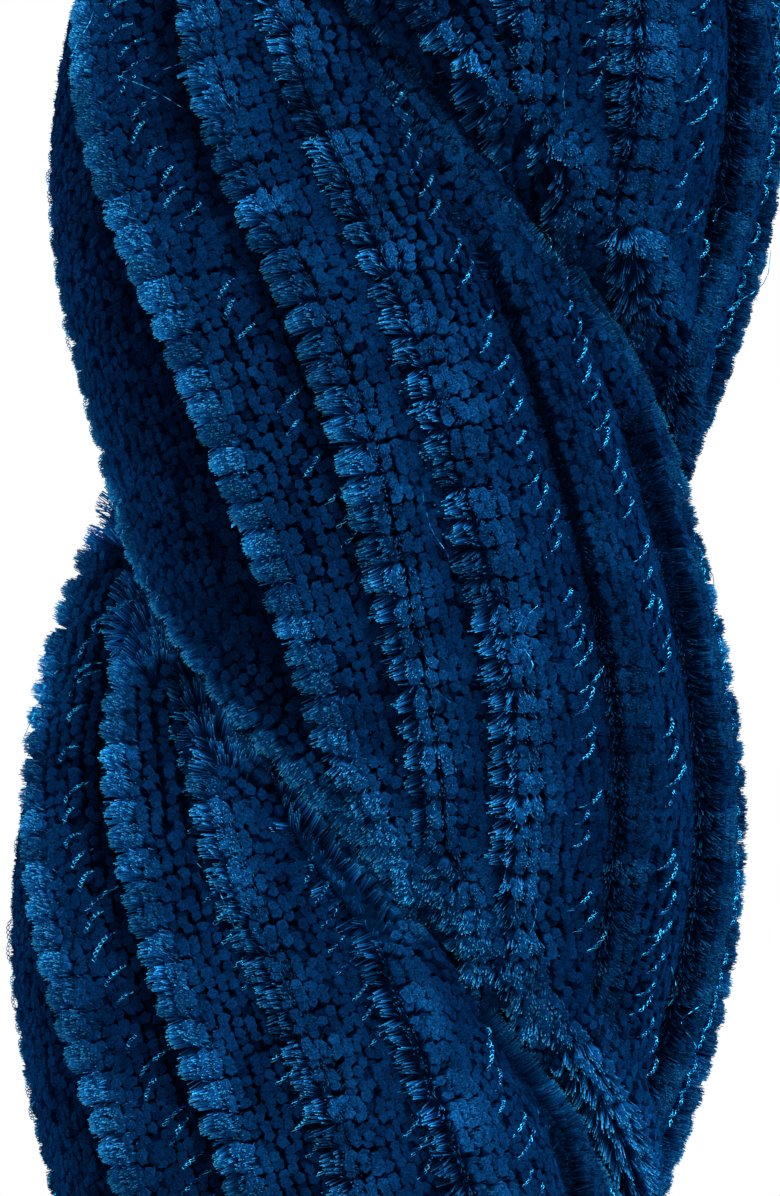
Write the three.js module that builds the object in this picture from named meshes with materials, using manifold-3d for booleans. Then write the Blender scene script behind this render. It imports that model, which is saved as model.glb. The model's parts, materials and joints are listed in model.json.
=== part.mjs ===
// A velvet barrier rope: two velvet-covered strands laid up as one rope, hanging in a deep U from the
// swivelling snap hook at each end. Millimetres, +Z up. The origin is the seat inside hook A's crown,
// the rope hangs down -Z, and hook B is at +X.
import * as THREE from "three";
import { mergeVertices } from "three/addons/utils/BufferGeometryUtils.js";
import Module from "manifold-3d";

const wasm = await Module();
wasm.setup();

// ---- Driving dimensions ----

const GAP = 0.3; // clearance left between pieces that touch

const ROPE_RADIUS = 18.8;
const LAY = 76; // rope length in which a strand makes one full turn
// Half of each strand's section, along the rope's radius and round the rope. Strand 1 is the fuller
// one, so the line where the two meet is off the rope's axis.
const STRANDS = {
  strand_1: { radial: 10.1, wide: 14.3, phase: Math.PI / 2 },
  strand_2: { radial: 7.9, wide: 13.7, phase: -Math.PI / 2 },
};
const SLEEVE_WALL = 2.2; // velvet and its lining
const GATHER = 0.86; // size of the rope where it is bound inside a cap
const GATHER_LENGTH = 34; // rope length in which it swells from there to full size
const STEPS_PER_TURN = 8;
const OUTER_SIDES = 8;
const INNER_SIDES = 6;

const MOUTH_Z = -94; // the caps' mouths
const STRAND_END_Z = -67; // the strands' cut ends, inside the caps
const HOOK_SPACING = 152; // hook A to hook B

const WIRE_RADIUS = 3.2; // hook
const THROAT_RADIUS = 7; // inside of the hook's crown
const SEAT_DEPTH = 0.3; // flat worn into the inside of the crown, at z = 0
const NOSE_Z = -10;
const COLLAR = { radius: 6.5, top: -38.6, bottom: -42.6 };
const SHANK_END_Z = -54;

const PIVOT = { x: 9.6, z: -31 }; // gate hinge, its axis along Y
const PIN_RADIUS = 1.25;
const PIN_HOLE_RADIUS = 1.5;
const EYE_RADIUS = 3;
const EAR_INSIDE = 2.9;
const EAR_OUTSIDE = 4.2;

const CAP_RADIUS = 20.2;
const CAP_WALL = 1.4;
const CAP_TOP_Z = -44.4;
const SHANK_HOLE_RADIUS = WIRE_RADIUS + GAP;

const SCREW_Z = -61.5;
const SCREW_RADIUS = 1.25;
const SCREWS = 3;

// ---- Materials ----

const velvet = { color: 0x06305c, roughness: 0.95, metalness: 0 };
const cotton = { color: 0xd9d2c0, roughness: 1, metalness: 0 };
const twine = { color: 0x3a3f4a, roughness: 0.9, metalness: 0 };
const brass = { color: 0xc79a45, roughness: 0.25, metalness: 1 };
const steel = { color: 0x9a9da0, roughness: 0.4, metalness: 1 };
const beech = { color: 0xc9a678, roughness: 0.7, metalness: 0 };

// ---- Geometry helpers ----

/** The manifold-3d solid of a closed geometry. */
function toSolid(geometry) {
  const bare = geometry.clone();
  bare.deleteAttribute("normal");
  bare.deleteAttribute("uv");
  const merged = mergeVertices(bare, 1e-4);
  const mesh = new wasm.Mesh({
    numProp: 3,
    vertProperties: new Float32Array(merged.getAttribute("position").array),
    triVerts: new Uint32Array(merged.index.array),
  });
  return new wasm.Manifold(mesh);
}

/** The geometry of a manifold-3d solid. */
function toGeometry(solid) {
  const mesh = solid.getMesh();
  const geometry = new THREE.BufferGeometry();
  geometry.setAttribute("position", new THREE.Float32BufferAttribute(mesh.vertProperties, 3));
  geometry.setIndex([...mesh.triVerts]);
  geometry.computeVertexNormals();
  return geometry;
}

/** One geometry with others joined to it, then others cut from it. */
function combine(base, joined, cut) {
  let solid = toSolid(base);
  for (const geometry of joined) solid = solid.add(toSolid(geometry));
  for (const geometry of cut) solid = solid.subtract(toSolid(geometry));
  return toGeometry(solid);
}

/** A geometry from points and triangles. */
function facets(points, index) {
  const geometry = new THREE.BufferGeometry().setFromPoints(points);
  geometry.setIndex(index);
  geometry.computeVertexNormals();
  return geometry;
}

/** The triangles between rings of `sides` points, which run anticlockwise about the way they advance. */
function ringWalls(rings, sides, first, inward) {
  const index = [];
  for (let ring = 0; ring + 1 < rings; ring++) {
    for (let side = 0; side < sides; side++) {
      const a = first + ring * sides + side;
      const b = first + ring * sides + ((side + 1) % sides);
      const triangles = inward
        ? [a, b + sides, b, a, a + sides, b + sides]
        : [a, b, b + sides, a, b + sides, a + sides];
      index.push(...triangles);
    }
  }
  return index;
}

/** A closed solid over convex rings of equal length. */
function skin(rings) {
  const sides = rings[0].length;
  const last = (rings.length - 1) * sides;
  const index = ringWalls(rings.length, sides, 0, false);
  for (let side = 1; side + 1 < sides; side++) {
    index.push(0, side + 1, side);
    index.push(last, last + side, last + side + 1);
  }
  return facets(rings.flat(), index);
}

/** A closed tube between outer and inner rings, each pair of rings in one plane. */
function hollowSkin(outer, inner, outline, hole) {
  const first = outer.length * outer[0].length;
  const index = [
    ...ringWalls(outer.length, outer[0].length, 0, false),
    ...ringWalls(inner.length, inner[0].length, first, true),
  ];
  const lastOuter = first - outer[0].length;
  const lastInner = first + (inner.length - 1) * inner[0].length;
  const flat = [...outline, ...hole];
  for (const [i, j, k] of THREE.ShapeUtils.triangulateShape(outline, [hole])) {
    const turn = THREE.ShapeUtils.area([flat[i], flat[j], flat[k]]);
    const [a, b, c] = turn > 0 ? [i, j, k] : [i, k, j];
    const at = (n, outerStart, innerStart) =>
      n < outline.length ? outerStart + n : innerStart + n - outline.length;
    index.push(at(a, 0, first), at(c, 0, first), at(b, 0, first));
    index.push(...[a, b, c].map((n) => at(n, lastOuter, lastInner)));
  }
  return facets([...outer.flat(), ...inner.flat()], index);
}

/** A round wire through points, for routes that run across the Y axis. */
function wire(points, radius, sides) {
  const across = new THREE.Vector3(0, 1, 0);
  const rings = points.map((point, i) => {
    const before = points[Math.max(i - 1, 0)];
    const after = points[Math.min(i + 1, points.length - 1)];
    const along = after.clone().sub(before).normalize();
    const side = across.clone().addScaledVector(along, -across.dot(along)).normalize();
    const normal = side.clone().cross(along);
    return Array.from({ length: sides }, (_, n) => {
      const turn = (n / sides) * 2 * Math.PI;
      return point
        .clone()
        .addScaledVector(normal, radius * Math.cos(turn))
        .addScaledVector(side, radius * Math.sin(turn));
    });
  });
  return skin(rings);
}

/** A solid of revolution about Z from [radius, z] points listed with z rising up its outside. */
function turned(profile, segments) {
  const points = profile.map(([radius, z]) => new THREE.Vector2(radius, z));
  return new THREE.LatheGeometry(points, segments).rotateX(Math.PI / 2);
}

/** A ring about Z. */
function ring(inside, outside, bottom, top, segments) {
  const profile = [
    [outside, bottom],
    [outside, top],
    [inside, top],
    [inside, bottom],
    [outside, bottom],
  ];
  return turned(profile, segments);
}

/** A plate whose outline is drawn in X and Z, from yLow to yHigh. */
function plate(shape, yLow, yHigh) {
  const options = { depth: yHigh - yLow, bevelEnabled: false, curveSegments: 5 };
  return new THREE.ExtrudeGeometry(shape, options).rotateX(Math.PI / 2).translate(0, yHigh, 0);
}

/** A block between two corners. */
function block(low, high) {
  const size = high.map((value, i) => value - low[i]);
  const middle = high.map((value, i) => (value + low[i]) / 2);
  return new THREE.BoxGeometry(...size).translate(...middle);
}

/** A round hole through a plate's outline. */
function roundHole(x, z, radius) {
  return new THREE.Path().absarc(x, z, radius, 0, 2 * Math.PI, true);
}

function named(name, geometry, look) {
  const mesh = new THREE.Mesh(geometry, new THREE.MeshStandardMaterial(look));
  mesh.name = name;
  return mesh;
}

// ---- The rope ----

// The rope's axis in X and Z, down from cap A and half way round the bend; the other half mirrors it.
const HALF_ROUTE = [
  [0, STRAND_END_Z],
  [0, MOUTH_Z],
  [0, -130],
  [0, -175],
  [0, -220],
  [0, -265],
  [0, -310],
  [0, -355],
  [0, -395],
  [0, -422],
  [0, -446.5],
  [0.3, -471],
  [3.6, -495.5],
  [13.6, -518],
  [30.3, -535.8],
  [51.9, -547.4],
  [76, -551.4],
];
const routePoints = [
  ...HALF_ROUTE.map(([x, z]) => new THREE.Vector3(x, 0, z)),
  ...HALF_ROUTE.slice(0, -1)
    .reverse()
    .map(([x, z]) => new THREE.Vector3(HOOK_SPACING - x, 0, z)),
];
const route = new THREE.CatmullRomCurve3(routePoints);
route.arcLengthDivisions = 4000;
const ROPE_LENGTH = route.getLength();
const TUCK = STRAND_END_Z - MOUTH_Z; // rope length hidden in a cap

/** The rope's size at a distance from its end, as a share of its full size. */
function gatherAt(distance) {
  const fromMouth = Math.min(distance, ROPE_LENGTH - distance) - TUCK;
  return GATHER + (1 - GATHER) * THREE.MathUtils.smoothstep(fromMouth, 0, GATHER_LENGTH);
}

/** The outline of a strand's section: x along the rope's radius, y round the rope. */
function strandOutline({ radial, wide }, inset, sides) {
  return Array.from({ length: sides }, (_, n) => {
    const turn = (n / sides) * 2 * Math.PI;
    return new THREE.Vector2(
      ROPE_RADIUS - radial + (radial - inset) * Math.cos(turn),
      (wide - inset) * Math.sin(turn),
    );
  });
}

/** The rings of a strand's skin, `inset` inside its surface; a strand starts `phase` round the rope. */
function strandRings(strand, inset, sides) {
  const steps = Math.round((ROPE_LENGTH / LAY) * STEPS_PER_TURN);
  const front = new THREE.Vector3(0, -1, 0);
  const outline = strandOutline(strand, inset, sides);
  return Array.from({ length: steps + 1 }, (_, step) => {
    const share = step / steps;
    const distance = share * ROPE_LENGTH;
    const axisPoint = route.getPointAt(share);
    const inside = front.clone().cross(route.getTangentAt(share));
    const turn = strand.phase - (distance / LAY) * 2 * Math.PI;
    const size = gatherAt(distance);
    return outline.map((corner) => {
      const radial = corner.x * size;
      const round = corner.y * size;
      return axisPoint
        .clone()
        .addScaledVector(inside, radial * Math.cos(turn) - round * Math.sin(turn))
        .addScaledVector(front, radial * Math.sin(turn) + round * Math.cos(turn));
    });
  });
}

function strandSleeve(strand) {
  const outer = strandRings(strand, 0, OUTER_SIDES);
  const inner = strandRings(strand, SLEEVE_WALL, INNER_SIDES);
  const outline = strandOutline(strand, 0, OUTER_SIDES);
  return hollowSkin(outer, inner, outline, strandOutline(strand, SLEEVE_WALL, INNER_SIDES));
}

function strandCore(strand) {
  return skin(strandRings(strand, SLEEVE_WALL + 2 * GAP, INNER_SIDES));
}

// ---- An end fitting, drawn about the Z axis with its gate towards +X ----

function hookBody() {
  const centreRadius = THROAT_RADIUS + WIRE_RADIUS;
  const crownZ = -THROAT_RADIUS - SEAT_DEPTH;
  const line = new THREE.Path()
    .moveTo(0, SHANK_END_Z)
    .lineTo(0, COLLAR.top)
    .bezierCurveTo(0, -31, -centreRadius, -36, -centreRadius, -25)
    .lineTo(-centreRadius, crownZ)
    .absarc(0, crownZ, centreRadius, Math.PI, 0, true)
    .lineTo(centreRadius, NOSE_Z);
  const bend = wire(
    line.getPoints(7).map((p) => new THREE.Vector3(p.x, 0, p.y)),
    WIRE_RADIUS,
    10,
  );
  const collar = turned(
    [
      [0, COLLAR.bottom],
      [COLLAR.radius, COLLAR.bottom],
      [COLLAR.radius, COLLAR.top - 1.2],
      [COLLAR.radius - 1.6, COLLAR.top],
      [0, COLLAR.top],
    ],
    20,
  );
  const root = { x: 0.5, z: -36 };
  const slope = Math.atan2(PIVOT.z - root.z, PIVOT.x - root.x);
  const tongue = new THREE.Shape()
    .absarc(PIVOT.x, PIVOT.z, EYE_RADIUS, slope - Math.PI / 2, slope + Math.PI / 2)
    .absarc(root.x, root.z, EYE_RADIUS, slope + Math.PI / 2, slope + 1.5 * Math.PI);
  tongue.holes.push(roundHole(PIVOT.x, PIVOT.z, PIN_HOLE_RADIUS));
  const seatCut = block([-4, -5, -4], [4, 5, 0]);
  return combine(bend, [collar, plate(tongue, -EAR_INSIDE + GAP, -GAP)], [seatCut]);
}

function gateLever() {
  const outside = PIVOT.x + EYE_RADIUS;
  const shape = new THREE.Shape()
    .moveTo(outside, PIVOT.z)
    .quadraticCurveTo(outside + 0.6, -20, 12.2, NOSE_Z - 0.5)
    .lineTo(6.7, NOSE_Z - 0.5)
    .lineTo(6.7, -7.8)
    .lineTo(5.5, -8.4)
    .lineTo(5.4, -12.5)
    .quadraticCurveTo(8.6, -17, PIVOT.x - EYE_RADIUS + 1.2, PIVOT.z + 3)
    .lineTo(PIVOT.x - EYE_RADIUS, PIVOT.z)
    .absarc(PIVOT.x, PIVOT.z, EYE_RADIUS, Math.PI, 2 * Math.PI);
  shape.holes.push(roundHole(PIVOT.x, PIVOT.z, PIN_HOLE_RADIUS));
  const slot = block([0, -EAR_INSIDE, PIVOT.z - 5], [20, EAR_INSIDE, PIVOT.z + EYE_RADIUS + 1]);
  return combine(plate(shape, -EAR_OUTSIDE, EAR_OUTSIDE), [], [slot]);
}

/** A headed pin along Y at the gate's hinge. */
function gatePin() {
  const headStart = EAR_OUTSIDE + GAP;
  const headEnd = headStart + 0.8;
  const profile = [
    [0, -headEnd],
    [2, -headEnd + 0.3],
    [2, -headStart],
    [PIN_RADIUS, -headStart],
    [PIN_RADIUS, headStart],
    [2, headStart],
    [2, headEnd - 0.3],
    [0, headEnd],
  ];
  return turned(profile, 10).rotateX(Math.PI / 2).translate(PIVOT.x, 0, PIVOT.z);
}

/** The torsion spring beside the tongue, with one leg laid back along the hook's foot. */
function gateSpring() {
  const coilRadius = 2.15;
  const wireRadius = 0.35;
  const turns = 2.5;
  const stepsPerTurn = 9;
  const startY = GAP + 0.1;
  const rise = (EAR_INSIDE - GAP - 2 * wireRadius - startY) / turns;
  const legEnd = new THREE.Vector3(2.4, startY + wireRadius, -34.6);
  const points = [legEnd];
  for (let step = 0; step <= turns * stepsPerTurn; step++) {
    const turn = 0.6 * Math.PI + (step / stepsPerTurn) * 2 * Math.PI;
    points.push(
      new THREE.Vector3(
        PIVOT.x + coilRadius * Math.cos(turn),
        startY + wireRadius + (step / stepsPerTurn) * rise,
        PIVOT.z + coilRadius * Math.sin(turn),
      ),
    );
  }
  return wire(points, wireRadius, 5);
}

/** A slotted screw along X whose head rests on the cap. */
function capScrew() {
  const seat = CAP_RADIUS + GAP;
  const profile = [
    [0, seat - 9],
    [SCREW_RADIUS - 0.4, seat - 8.6],
    [SCREW_RADIUS, seat - 8],
    [SCREW_RADIUS, seat],
    [3, seat],
    [2.7, seat + 1.1],
    [1.5, seat + 1.8],
    [0, seat + 2],
  ];
  const body = turned(profile, 10).rotateY(Math.PI / 2);
  const slot = block([seat + 1, -4, -0.4], [seat + 3, 4, 0.4]);
  return combine(body, [], [slot]);
}

/** Cutters of the given radius, and from one distance to another, where the screws go. */
function screwHoles(radius, from, to) {
  return Array.from({ length: SCREWS }, (_, n) =>
    new THREE.CylinderGeometry(radius, radius, to - from, 8)
      .rotateZ(Math.PI / 2)
      .translate((from + to) / 2, 0, 0)
      .rotateZ(screwTurn(n))
      .translate(0, 0, SCREW_Z),
  );
}

function screwTurn(n) {
  return ((n + 0.25) / SCREWS) * 2 * Math.PI;
}

/** The spun bell cap: a neck, a domed shoulder, a straight skirt and a rolled bead at its mouth. */
function endCap() {
  const inside = CAP_RADIUS - CAP_WALL;
  const neck = 8.4;
  const shoulderZ = -57;
  const dome = (radius, topRadius, topZ, steps) =>
    Array.from({ length: steps + 1 }, (_, n) => {
      const turn = (n / steps) * (Math.PI / 2);
      return [
        topRadius + (radius - topRadius) * Math.cos(turn),
        shoulderZ + (topZ - shoulderZ) * Math.sin(turn),
      ];
    });
  const profile = [
    [inside, MOUTH_Z],
    [CAP_RADIUS + 0.8, MOUTH_Z],
    [CAP_RADIUS + 1.6, MOUTH_Z + 1],
    [CAP_RADIUS + 1.6, MOUTH_Z + 2.6],
    [CAP_RADIUS + 0.6, MOUTH_Z + 4],
    [CAP_RADIUS, MOUTH_Z + 4.4],
    ...dome(CAP_RADIUS, neck, CAP_TOP_Z - 1.4, 4),
    [neck - 0.4, CAP_TOP_Z],
    [SHANK_HOLE_RADIUS, CAP_TOP_Z],
    [SHANK_HOLE_RADIUS, CAP_TOP_Z - CAP_WALL],
    [neck - 1, CAP_TOP_Z - CAP_WALL],
    ...dome(inside, neck - 1, CAP_TOP_Z - 1.4 - CAP_WALL, 3).reverse(),
    [inside, MOUTH_Z],
  ];
  return combine(turned(profile, 26), [], screwHoles(SCREW_RADIUS + GAP, 15, 25));
}

/** The beech plug that the screws bite, above the strands' ends. */
function endPlug() {
  const radius = CAP_RADIUS - CAP_WALL - GAP - 0.2;
  const profile = [
    [0, STRAND_END_Z + GAP + 0.2],
    [radius, STRAND_END_Z + GAP + 0.2],
    [radius, -58.5],
    [radius - 3, -56.8],
    [0, -56.8],
  ];
  return combine(turned(profile, 24), [], screwHoles(SCREW_RADIUS + GAP, 10.5, 25));
}

function stopNut() {
  const outline = new THREE.Shape();
  for (let corner = 0; corner < 6; corner++) {
    const turn = (corner / 6) * 2 * Math.PI;
    const point = [6.2 * Math.cos(turn), 6.2 * Math.sin(turn)];
    if (corner === 0) outline.moveTo(...point);
    else outline.lineTo(...point);
  }
  outline.holes.push(new THREE.Path().absarc(0, 0, SHANK_HOLE_RADIUS, 0, 2 * Math.PI, true));
  const options = { depth: 4, bevelEnabled: false, curveSegments: 8 };
  return new THREE.ExtrudeGeometry(outline, options).translate(0, 0, -51.6);
}

/** Every piece of one end. */
function endFitting(end) {
  const group = new THREE.Group();
  const gatheredRadius = GATHER * ROPE_RADIUS;
  const whippingRadius = CAP_RADIUS - CAP_WALL - 0.7;
  group.add(
    named(`hook_body_${end}`, hookBody(), brass),
    named(`gate_lever_${end}`, gateLever(), brass),
    named(`gate_pin_${end}`, gatePin(), steel),
    named(`gate_spring_${end}`, gateSpring(), steel),
    named(`thrust_washer_${end}`, ring(SHANK_HOLE_RADIUS, 7.8, -44.1, -42.9, 18), brass),
    named(`stop_washer_${end}`, ring(SHANK_HOLE_RADIUS, 7, -47.2, -46.1, 16), steel),
    named(`stop_nut_${end}`, stopNut(), steel),
    named(`end_cap_${end}`, endCap(), brass),
    named(`end_plug_${end}`, endPlug(), beech),
    named(`whipping_${end}`, ring(gatheredRadius + 2 * GAP, whippingRadius, -88, -71, 20), twine),
  );
  for (let n = 0; n < SCREWS; n++) {
    const screw = named(`cap_screw_${end}${n + 1}`, capScrew(), brass);
    screw.position.z = SCREW_Z;
    screw.rotation.z = screwTurn(n);
    group.add(screw);
  }
  return group;
}

// ---- Assembly ----

const part = new THREE.Group();
for (const [name, strand] of Object.entries(STRANDS)) {
  part.add(named(`${name}_sleeve`, strandSleeve(strand), velvet));
  part.add(named(`${name}_core`, strandCore(strand), cotton));
}

const endA = endFitting("a");
endA.rotation.z = Math.PI; // both gates face outwards
const endB = endFitting("b");
endB.position.x = HOOK_SPACING;
part.add(endA, endB);

export default part;
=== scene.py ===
"""The velvet barrier rope's looks: two strands of velvet bands with real pile, brass caps and hooks.

Lengths are in millimetres in the shape functions and turn into metres where a mesh is made. The
rope's route, its lay and its strands' sizes repeat the CAD model's.
"""

import json
import math

import bpy
import numpy as np
from mathutils import Matrix, Vector


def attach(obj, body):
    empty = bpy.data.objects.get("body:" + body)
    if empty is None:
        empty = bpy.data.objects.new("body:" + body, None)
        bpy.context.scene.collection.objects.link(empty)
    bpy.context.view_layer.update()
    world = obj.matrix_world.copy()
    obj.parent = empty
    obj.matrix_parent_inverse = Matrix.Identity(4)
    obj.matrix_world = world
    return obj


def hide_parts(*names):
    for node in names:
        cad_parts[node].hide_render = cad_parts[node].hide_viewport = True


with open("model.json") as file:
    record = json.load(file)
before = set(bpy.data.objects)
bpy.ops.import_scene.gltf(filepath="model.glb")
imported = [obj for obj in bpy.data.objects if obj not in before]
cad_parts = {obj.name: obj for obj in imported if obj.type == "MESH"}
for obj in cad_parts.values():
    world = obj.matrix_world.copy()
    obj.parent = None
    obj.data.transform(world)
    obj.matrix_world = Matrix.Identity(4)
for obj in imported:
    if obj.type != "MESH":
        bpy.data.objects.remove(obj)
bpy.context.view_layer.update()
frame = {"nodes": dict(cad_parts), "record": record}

MM = 0.001
RNG = np.random.default_rng(11)

# ---- The rope's route and strands, as in the CAD model ----

HALF_ROUTE = [
    (0, -67),
    (0, -94),
    (0, -130),
    (0, -175),
    (0, -220),
    (0, -265),
    (0, -310),
    (0, -355),
    (0, -395),
    (0, -422),
    (0, -446.5),
    (0.3, -471),
    (3.6, -495.5),
    (13.6, -518),
    (30.3, -535.8),
    (51.9, -547.4),
    (76, -551.4),
]
HOOK_SPACING = 152
LAY = 76
TUCK = 27  # of rope inside each cap
STRAND_ARC = 12.35
ARC_OFFSET = 4.1
FLAT_FULLNESS = 2.35  # how square the corners beside a strand's flatter side are
GATHER = 0.86  # the rope's size inside its caps, as a share of its full size
GATHER_LENGTH = 34
FRONT = np.array([0.0, -1.0, 0.0])


def smooth_curve(points, steps=60):
    """A centripetal Catmull-Rom curve through points, as a dense polyline."""
    points = np.asarray(points, float)
    padded = np.vstack([2 * points[0] - points[1], points, 2 * points[-1] - points[-2]])
    share = np.arange(steps)[:, None] / steps
    pieces = []
    for p0, p1, p2, p3 in zip(padded, padded[1:], padded[2:], padded[3:]):
        d0, d1, d2 = (max(np.linalg.norm(b - a), 1e-6) ** 0.5 for a, b in ((p0, p1), (p1, p2), (p2, p3)))
        m1 = ((p1 - p0) / d0 - (p2 - p0) / (d0 + d1) + (p2 - p1) / d1) * d1
        m2 = ((p2 - p1) / d1 - (p3 - p1) / (d1 + d2) + (p3 - p2) / d2) * d1
        cubic = 2 * p1 - 2 * p2 + m1 + m2
        square = -3 * p1 + 3 * p2 - 2 * m1 - m2
        pieces.append(p1 + m1 * share + square * share**2 + cubic * share**3)
    pieces.append(points[-1:])
    return np.vstack(pieces)


def rope_route():
    """The rope's centreline from its end in cap A to its end in cap B."""
    half = [(x, 0, z) for x, z in HALF_ROUTE]
    other = [(HOOK_SPACING - x, 0, z) for x, z in HALF_ROUTE[-2::-1]]
    return smooth_curve(half + other)


ROUTE = rope_route()
ROUTE_AT = np.concatenate([[0], np.cumsum(np.linalg.norm(np.diff(ROUTE, axis=0), axis=1))])
ROPE_LENGTH = float(ROUTE_AT[-1])
TANGENTS = np.gradient(ROUTE, ROUTE_AT, axis=0)


def along_route(values, at):
    return np.stack([np.interp(at, ROUTE_AT, values[:, i]) for i in range(3)], axis=-1)


def unit(vectors):
    return vectors / np.maximum(np.linalg.norm(vectors, axis=-1, keepdims=True), 1e-12)


def smoothstep(value, low, high):
    share = np.clip((value - low) / (high - low), 0, 1)
    return share * share * (3 - 2 * share)


def gather(at):
    """The rope's size at a distance along it, as a share of its full size."""
    from_mouth = np.minimum(at, ROPE_LENGTH - at) - TUCK
    return GATHER + (1 - GATHER) * smoothstep(from_mouth, 0, GATHER_LENGTH)


class Strand:
    """One strand's section and the velvet bands round it.

    The section is a D: an arc of STRAND_ARC about a point ARC_OFFSET off the rope's axis, closed by a
    flatter side, `depth` behind that point, where the two strands press together. It turns with the lay.
    `edges` gives each band's fringed left edge as a direction about the rope's axis, in degrees:
    0 is towards the inside of the hanging loop, 90 the front. The bands keep their direction while
    the section turns, so they cross the strand aslant. `slews` is how many degrees more than the
    others each one slants, and `raised` is how proud each edge stands.
    """

    def __init__(self, name, phase, depth, edges, slews, raised):
        self.name = name
        self.phase = phase
        self.depth = depth
        self.edges = edges
        self.slews = slews
        self.raised = raised
        turn = np.linspace(0, 2 * np.pi, 1441)
        outline = self.outline(turn)
        steps = np.linalg.norm(np.diff(outline, axis=0), axis=1)
        self.turns = turn
        self.girths = np.concatenate([[0], np.cumsum(steps)])
        self.girth = float(self.girths[-1])

    def outline(self, turn):
        cos, sin = np.cos(turn), np.sin(turn)
        inner = np.abs(cos) ** FLAT_FULLNESS + np.abs(sin) ** FLAT_FULLNESS
        reach = np.where(cos < 0, inner ** (-1 / FLAT_FULLNESS), 1)
        radial = np.where(cos < 0, self.depth, STRAND_ARC)
        return np.stack([ARC_OFFSET + radial * cos * reach, STRAND_ARC * sin * reach], axis=-1)

    def girth_at(self, turn):
        """How far round the section a direction within it lies, growing by a girth each full turn."""
        whole = np.floor(turn / (2 * np.pi))
        return whole * self.girth + np.interp(turn - whole * 2 * np.pi, self.turns, self.girths)

    def turn_at(self, girth):
        whole = np.floor(girth / self.girth)
        return whole * 2 * np.pi + np.interp(girth - whole * self.girth, self.girths, self.turns)

    def lay_angle(self, at):
        return self.phase - at / LAY * 2 * np.pi

    def surface(self, at, girth, height):
        """Points at a distance along the rope, round the section, and height above it."""
        turn = self.turn_at(girth)
        size = gather(at)[..., None]
        ahead = unit(self.outline(turn + 0.01) - self.outline(turn - 0.01))
        outward = np.stack([ahead[..., 1], -ahead[..., 0]], axis=-1)
        flat = self.outline(turn) * size + outward * height[..., None]
        angle = self.lay_angle(at)
        cos, sin = np.cos(angle)[..., None], np.sin(angle)[..., None]
        inside = unit(np.cross(FRONT, along_route(TANGENTS, at)))
        x, y = flat[..., :1], flat[..., 1:]
        return along_route(ROUTE, at) + inside * (x * cos - y * sin) + FRONT * (x * sin + y * cos)


ROLL_SHARE = 0.22  # share of a band's profile that is its rolled left edge
ROLL_RADIUS = 0.75
LINING_DEPTH = 2.0
LINING_SIDES = 32
TUCKED = 1.6  # how far a band runs on beneath the next one
FOLDED_WIDTH = 2.2  # how much wider a band is than the gap between its edges, with its roll and its tuck
DRIFT = math.radians(9.5)  # how far a band strays from a constant direction as it crosses a strand


class Band:
    """One velvet band: its left edge is rolled over and stands proud, its right edge is tucked in."""

    side = 1  # -1 where the rolled edge is the right one
    # Painted sheen added to the fringe's colour.
    painted_sheen = 0.0  # how much brighter than others its fringe is

    def __init__(self, strand, index):
        self.strand = strand
        self.raised = strand.raised[index]
        self.left = math.radians(strand.edges[index])
        count = len(strand.edges)
        turned = 360 if index + 1 == count else 0
        self.right = math.radians(strand.edges[(index + 1) % count] - turned)
        self.slew = math.radians(strand.slews[index])
        self.next_slew = math.radians(strand.slews[(index + 1) % count])
        self.lapped_by = strand.raised[(index + 1) % count]
        self.wander = RNG.uniform(0, 6.28, 4)

    def wavering(self, at, channel):
        """A slow unevenness along the band, within about one either way."""
        shift = self.wander[channel]
        return 0.6 * np.sin(at / 9.1 + shift) + 0.4 * np.sin(at / 3.7 + 2.3 * shift)

    def edges_at(self, at):
        """The girths of the band's left and right edges."""
        angle = self.strand.lay_angle(at)
        from_front = angle - math.pi / 2
        drift = DRIFT * (1 - np.cos(from_front)) * (1 + 0.8 * np.sin(from_front))
        turned = np.sin(from_front)
        left = self.strand.girth_at(self.left + drift + self.slew * turned - angle)
        right = self.strand.girth_at(self.right + drift + self.next_slew * turned - angle)
        left = left + 0.35 * self.wavering(at, 0)
        return left, right

    def point(self, at, share):
        """Points along the rope and across the band, share 0 being under its rolled left edge."""
        left, right = self.edges_at(at)
        lift = 0.25 + 0.75 * self.raised
        roll = np.clip(share / ROLL_SHARE, 0, 1)
        face = np.clip((share - ROLL_SHARE) / (1 - ROLL_SHARE), 0, 1)
        angle = np.radians(215 - 125 * roll)
        over = ROLL_RADIUS * (1 + np.cos(angle))
        rise = ROLL_RADIUS * np.sin(angle) + lift + 0.12 * self.wavering(at, 1)
        width = np.maximum(self.side * (left - right) - ROLL_RADIUS + TUCKED, 0.5)
        crown = 0.35 * np.sin(np.pi * np.minimum(face * 1.25, 1)) + 0.08 * np.sin(face * 9 + self.wander[2])
        fall = (rise + 0.75 + 1.1 * self.lapped_by) * face**1.4
        girth = left - self.side * (over + face * width)
        return self.strand.surface(at, girth, rise + crown * self.raised**0.5 - fall)

    def normal(self, at, share):
        along = self.point(at + 0.05, share) - self.point(at - 0.05, share)
        across = self.point(at, np.minimum(share + 0.01, 1)) - self.point(at, np.maximum(share - 0.01, 0))
        return unit(np.cross(along, across)) * self.side


class EdgeStrip(Band):
    """A narrow rolled strip that follows one corner of a strand's section, where it laps the other."""

    # Its fringe is painted brighter, as sheen.
    painted_sheen = 0.7

    def __init__(self, strand, corner, width, side, raised):
        self.strand = strand
        self.corner = strand.girth_at(np.radians(corner))
        self.width = width
        self.side = side
        self.raised = raised
        self.lapped_by = 0
        self.wander = RNG.uniform(0, 6.28, 4)

    def edges_at(self, at):
        left = self.corner + 0.3 * self.wavering(at, 0)
        return left, left - self.side * self.width


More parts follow.
